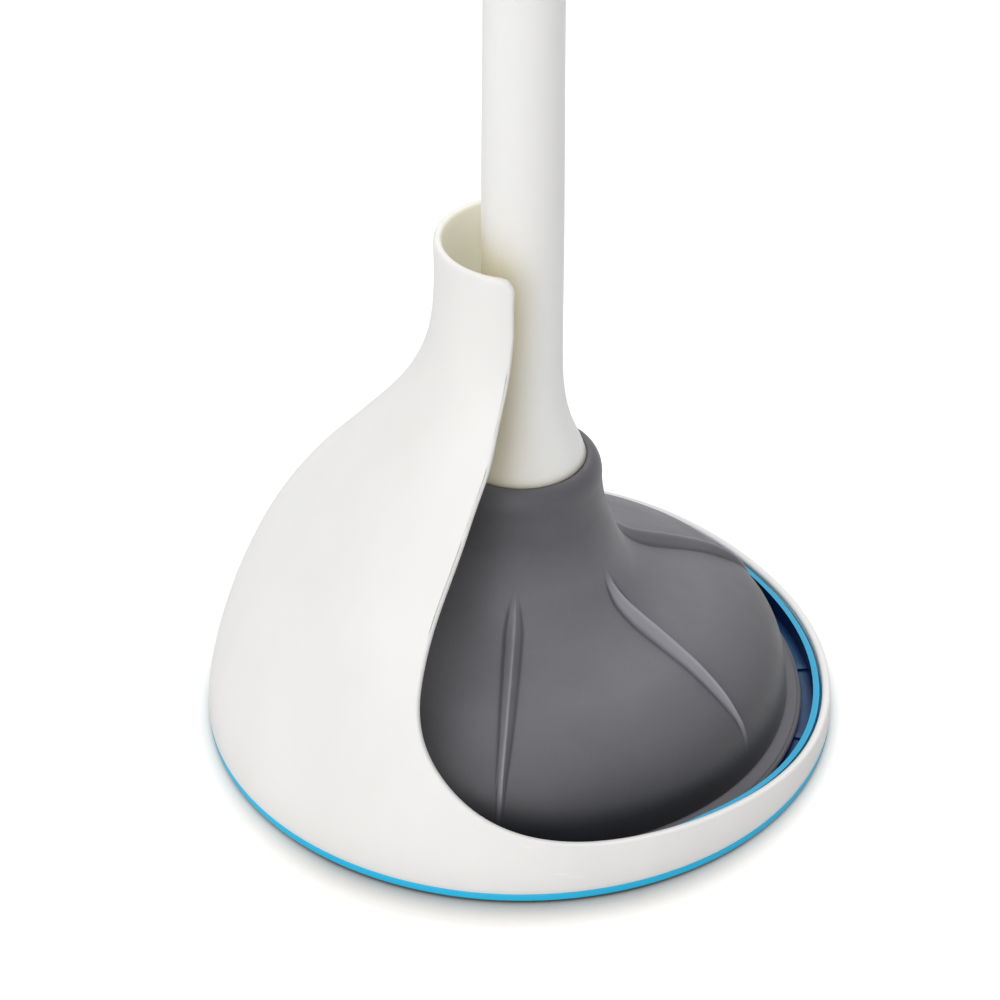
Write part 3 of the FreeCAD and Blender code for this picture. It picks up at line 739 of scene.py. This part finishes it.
# ---------------------------------------------------------------- handle shaft
def build_shaft():
    z = SHAFT_FOOT_Z
    start = [(16.45, z), (16.72, z + 0.06), (16.88, z + 0.25)]
    straight = np.c_[np.full(14, SHAFT_R), np.linspace(336, 478, 14)]
    inside = rounded([(SHAFT_R, 331.0, 0), (SHAFT_R, SHAFT_TOP, 0.4),
                      (SHAFT_BORE_R, SHAFT_TOP, 0.4), (SHAFT_BORE_R, 112.0, 0.5),
                      (SHAFT_WIDE_BORE_R, 110.0, 0.5), (SHAFT_WIDE_BORE_R, 96.0, 0.6),
                      (SHAFT_HOLLOW_R, 81.6, 0.4), (SHAFT_HOLLOW_R, z, 0.2)])
    outline = np.r_[start, spline(SHAFT_OUT, 190)[2:], straight, inside[1:]]
    return lathe("shaft_moulding", outline, HANDLE_WHITE)


shaft = build_shaft()
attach(shaft, "handle")
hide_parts("handle_shaft")


# ---------------------------------------------------------------- soft grip
def build_grip():
    z0, z1 = GRIP_Z0, GRIP_Z1
    skin = spline([(r, z0 + z) for r, z in GRIP_OUT], 420)
    for k in range(GRIP_GROOVES):
        z = z0 + GRIP_GROOVE_START + k * GRIP_GROOVE_PITCH
        t = np.abs(skin[:, 1] - z) / GRIP_GROOVE_HALF
        cut = GRIP_GROOVE_DEPTH * np.clip(1 - t ** 2, 0, None) ** 1.2
        # each groove has a slight raised lip at both sides
        skin[:, 0] -= cut - GRIP_GROOVE_LIP * np.exp(-((t - 1.25) / 0.35) ** 2)
    low = [(GRIP_BORE_R, z0 + 0.3), (10.0, z0), (10.6, z0), (11.0, z0 + 0.12),
           (11.27, z0 + 0.45)]
    high = [(12.75, z1 - 0.4), (12.4, z1 - 0.08), (12.0, z1), (10.0, z1),
            (GRIP_BORE_R, z1 - 0.3)]
    bore = np.c_[np.full(20, GRIP_BORE_R), np.linspace(z1 - 4, z0 + 4, 20)]
    return lathe("grip_moulding", np.r_[low, skin, high, bore], GRIP_GREY)


grip = build_grip()
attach(grip, "handle")
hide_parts("grip_sleeve")

# ---------------------------------------------------------------- CAD pieces that keep their mesh
for node, material in (("base_tray", TRAY_BLUE), ("foot_pads", PAD_DARK),
                       ("socket_plug", PLUG_GREY), ("cup_washer", WASHER_STEEL),
                       ("cup_screw", SCREW_STEEL), ("end_cap", HANDLE_WHITE)):
    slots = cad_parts[node].data.materials
    slots.clear()
    slots.append(material)

# ---------------------------------------------------------------- floor
FLOOR_HALF = 6.0             # metres
FLOOR_LIFT = 1.52            # brightening seen by the camera only


def floor_material():
    """Pale diffuse floor with a contact shadow, short at both sides and longer in front."""
    m = Material("floor_pale", shader="ShaderNodeBsdfDiffuse")
    pale = m.drifting(3, (0.79, 0.79, 0.79, 1), (0.81, 0.81, 0.81, 1), span=(0.3, 0.7))
    camera_ray = m.add("ShaderNodeLightPath").outputs["Is Camera Ray"]
    place = m.separate("Object")

    def sides(right, right_top, left, left_top):
        return m.either(m.remap(place["X"], span=right, to=(0, right_top)),
                        m.remap(place["X"], span=left, to=(0, left_top)))

    lift = m.remap(camera_ray, span=(0, 1), to=(1.0, FLOOR_LIFT))
    near = m.remap(m.openness(distance=0.013), span=(0.36, 0.96), to=(0.30, 1.0))
    relief = sides(right=(0.02, 0.085), right_top=0.75, left=(-0.055, -0.085), left_top=0.60)
    short = m.math("MULTIPLY_ADD", relief, m.math("SUBTRACT", 1.0, near), near)
    wide = m.remap(m.openness(distance=0.030), span=(0.45, 0.95), to=(0.10, 0))
    front = m.times(wide, m.remap(place["Y"], span=(-0.09, -0.05), to=(1, 0)))
    shadow = m.math("SUBTRACT", short, front)
    extra = sides(right=(0.03, 0.10), right_top=0.14, left=(-0.06, -0.10), left_top=0.09)
    lit = m.math("ADD", lift, m.times(extra, m.remap(camera_ray, span=(0, 1))))
    # painted warm tone in the floor's shade close to the caddy
    bounce = m.remap(m.openness(distance=0.045), span=(0.55, 0.98))
    tone = m.mix(bounce, (0.80, 0.760, 0.715, 1), pale)      # warmer close to the caddy
    m.surface({"Color": m.vector("SCALE", tone, scale=m.times(lit, shadow))})
    return m.data


def build_floor():
    mesh = bpy.data.meshes.new("floor")
    s = FLOOR_HALF
    mesh.from_pydata([(-s, -s, 0), (s, -s, 0), (s, s, 0), (-s, s, 0)], [], [(0, 1, 2, 3)])
    piece = bpy.data.objects.new("floor", mesh)
    SCENE.collection.objects.link(piece)
    mesh.materials.append(floor_material())


build_floor()

# ---------------------------------------------------------------- light and camera
VIEW_TURN = math.radians(-7.5)        # turns the camera and the lights about Z
# soft light tents: (azimuth from the camera's side, elevation, strength), degrees
TENTS = [(0, 90, 0.30), (-24, 50, 0.92), (90, 50, 0.31), (180, 50, 1.88), (-26, 15, 1.70)]
TENT_TIGHTNESS = 6
AMBIENT = 0.22

CAMERA_PLACE = (0, -0.7106, 0.5544)   # metres, before the view turn
CAMERA_HEADING = math.radians(-0.439)  # from +Y towards +X
CAMERA_PITCH = math.radians(34.553)   # downwards
CAMERA_ROLL = math.radians(0.126)
SENSOR_WIDTH, LENS = 36, 119.124      # mm


def build_world():
    world = bpy.data.worlds.new("studio")
    world.use_nodes = True
    g = Nodes(world.node_tree)
    place = g.add("ShaderNodeTexCoord").outputs["Generated"]
    total = None
    for azimuth, elevation, strength in TENTS:
        a = math.radians(azimuth) + VIEW_TURN
        e = math.radians(elevation)
        towards = (math.sin(a) * math.cos(e), -math.cos(a) * math.cos(e), math.sin(e))
        facing = g.either(g.vector("DOT_PRODUCT", place, towards), 0.0)
        tent = g.vector("SCALE", (strength,) * 3,
                        scale=g.math("POWER", facing, TENT_TIGHTNESS))
        total = g.vector("ADD", total, tent) if total else tent
    background = g.tree.nodes["Background"]
    g.feed(background.inputs["Color"], g.vector("ADD", total, (AMBIENT,) * 3))
    background.inputs["Strength"].default_value = 1.0
    SCENE.world = world


def build_camera():
    data = bpy.data.cameras.new("camera")
    data.sensor_width = SENSOR_WIDTH
    data.lens = LENS
    data.clip_start, data.clip_end = 0.05, 30
    camera = bpy.data.objects.new("camera", data)
    heading, pitch, roll = CAMERA_HEADING, CAMERA_PITCH, CAMERA_ROLL
    forward = Vector((math.sin(heading) * math.cos(pitch), math.cos(heading) * math.cos(pitch),
                      -math.sin(pitch)))
    level = Vector((math.cos(heading), -math.sin(heading), 0))
    upright = level.cross(forward)
    right = level * math.cos(roll) + upright * math.sin(roll)
    up = -level * math.sin(roll) + upright * math.cos(roll)
    turn = Matrix((right, up, -forward)).transposed().to_4x4()
    camera.matrix_world = (Matrix.Rotation(VIEW_TURN, 4, "Z")
                           @ Matrix.Translation(CAMERA_PLACE) @ turn)
    SCENE.collection.objects.link(camera)
    SCENE.camera = camera


build_world()
build_camera()
SCENE.view_settings.view_transform = "Standard"
SCENE.view_settings.look = "None"
SCENE.view_settings.exposure = 0.0
